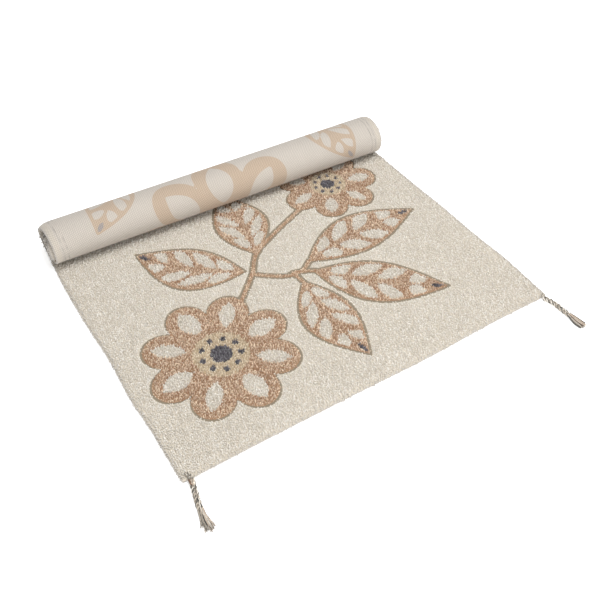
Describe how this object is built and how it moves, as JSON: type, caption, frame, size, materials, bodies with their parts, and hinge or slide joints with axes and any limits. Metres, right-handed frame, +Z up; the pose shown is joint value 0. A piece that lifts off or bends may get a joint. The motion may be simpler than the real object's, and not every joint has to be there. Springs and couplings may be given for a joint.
{
  "type": "tufted cotton rug, partly rolled, with corner tassels",
  "caption": "Rectangular tufted cotton rug that softens a floor, its far end rolled over its pile, with a carved sprig design and a braided tassel at each front corner.",
  "frame": {"origin": "on the floor, under the middle of the part that lies flat", "axes": "+X across the rug's width to the viewer's right, +Y from the front edge to the roll, +Z up"},
  "size_m": [1.0197, 0.9538, 0.113],
  "materials": {
    "cream_pile": "matt cut cotton pile on a woven backing, with tan, sand and charcoal motifs",
    "flecked_yarn": "matt cotton yarn flecked in cream and grey"
  },
  "bodies": {
    "root": {"rug": "cream_pile", "tassel_left": "flecked_yarn", "tassel_right": "flecked_yarn"}
  },
  "joints": []
}
